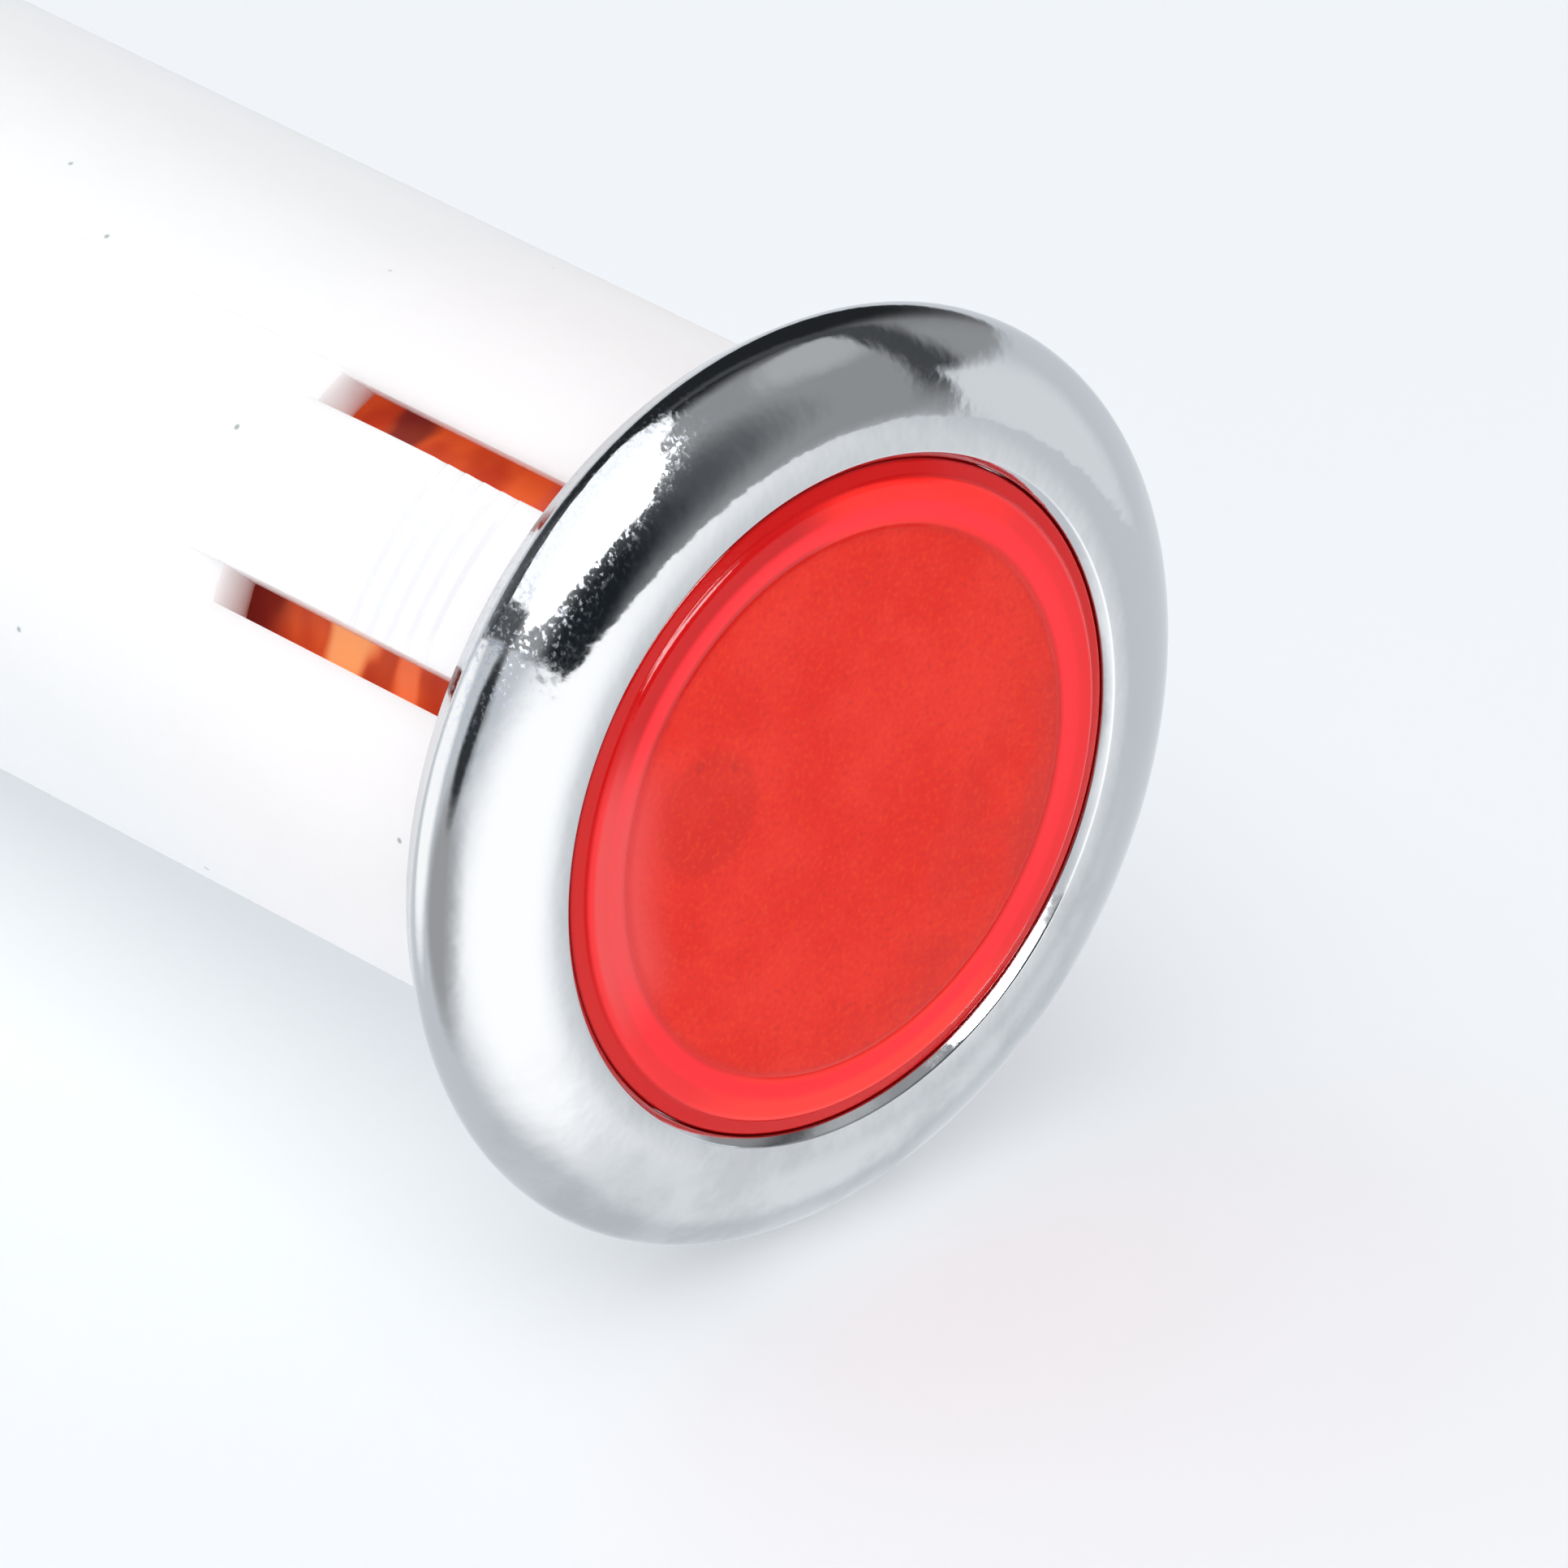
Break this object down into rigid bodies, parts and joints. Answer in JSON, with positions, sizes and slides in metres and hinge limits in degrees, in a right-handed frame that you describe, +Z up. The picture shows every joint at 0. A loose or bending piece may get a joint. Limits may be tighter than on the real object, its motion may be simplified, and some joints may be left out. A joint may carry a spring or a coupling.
{
  "type": "panel pilot light",
  "caption": "Snap-in neon panel pilot light: white ribbed-finger barrel, domed chrome bezel, flat red lens and rear tab terminals.",
  "frame": {"origin": "centre of the barrel in the plane where the bezel's back face seats on the panel", "axes": "-Y is the way the lens looks, +Y runs back along the barrel to the terminals, +Z is up, +X is to the right seen from the front"},
  "size_m": [0.017, 0.0366, 0.017],
  "materials": {
    "chrome_plate": "bright chrome over plated plastic, with pits",
    "red_lens": "translucent red, frosted in the middle",
    "white_nylon": "satin moulded nylon",
    "base_nylon": "satin moulded nylon",
    "tinned_brass": "tin plate, stamped edges",
    "lamp_glass": "clear glass",
    "nickel": "grey nickel",
    "dumet_wire": "coppery wire",
    "fibre_sleeve": "woven varnished sleeve",
    "solder": "dull solder",
    "resistor_coating": "tan conformal coating",
    "resistor_cap": "coated steel cap",
    "tinned_wire": "tinned copper"
  },
  "bodies": {
    "root": {"bezel": "chrome_plate", "lens": "red_lens", "housing": "white_nylon", "base": "base_nylon", "terminal_a": "tinned_brass", "terminal_b": "tinned_brass", "envelope": "lamp_glass", "electrode_a": "nickel", "electrode_b": "nickel", "lamp_lead_a": "dumet_wire", "lamp_lead_b": "dumet_wire", "sleeve": "fibre_sleeve", "splice": "solder", "resistor_core": "resistor_coating", "resistor_cap_a": "resistor_cap", "resistor_cap_b": "resistor_cap", "resistor_lead_a": "tinned_wire", "resistor_lead_b": "tinned_wire", "solder_a": "solder", "solder_b": "solder"}
  },
  "joints": []
}
